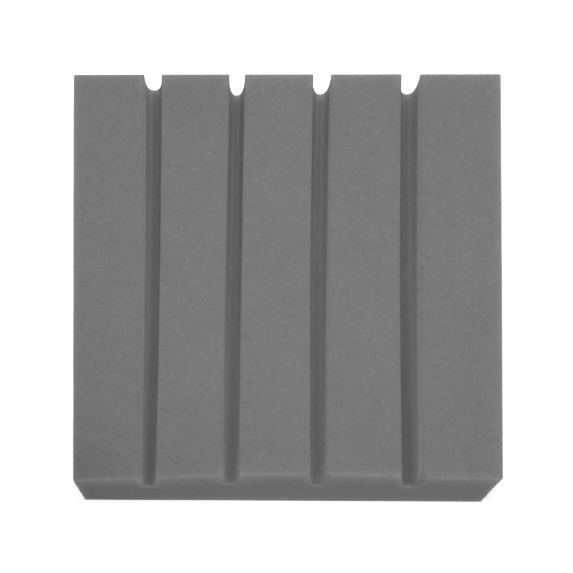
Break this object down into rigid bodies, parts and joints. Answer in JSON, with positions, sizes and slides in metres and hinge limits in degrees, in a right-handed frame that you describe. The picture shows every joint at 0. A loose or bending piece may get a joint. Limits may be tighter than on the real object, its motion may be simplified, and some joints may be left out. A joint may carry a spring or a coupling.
{
  "type": "acoustic foam panel",
  "caption": "Square tile of soft grey open-cell foam with flat ribs and round-bottomed grooves that run out through both ends; its flat back is glued to a wall or ceiling.",
  "frame": {"origin": "middle of the tile's footprint, on the plane of its flat back", "axes": "+Z out of the ribbed face, away from the wall or ceiling that the back is glued to; +Y along the grooves, towards the end where they are deepest; +X across the ribs"},
  "size_m": [0.3048, 0.3048, 0.0508],
  "materials": {
    "open_cell_foam": "dry matt mid-grey open-cell polyurethane foam with cut cells, fine light and dark specks and slightly paler edges"
  },
  "bodies": {
    "root": {"foam_panel": "open_cell_foam"}
  },
  "joints": []
}
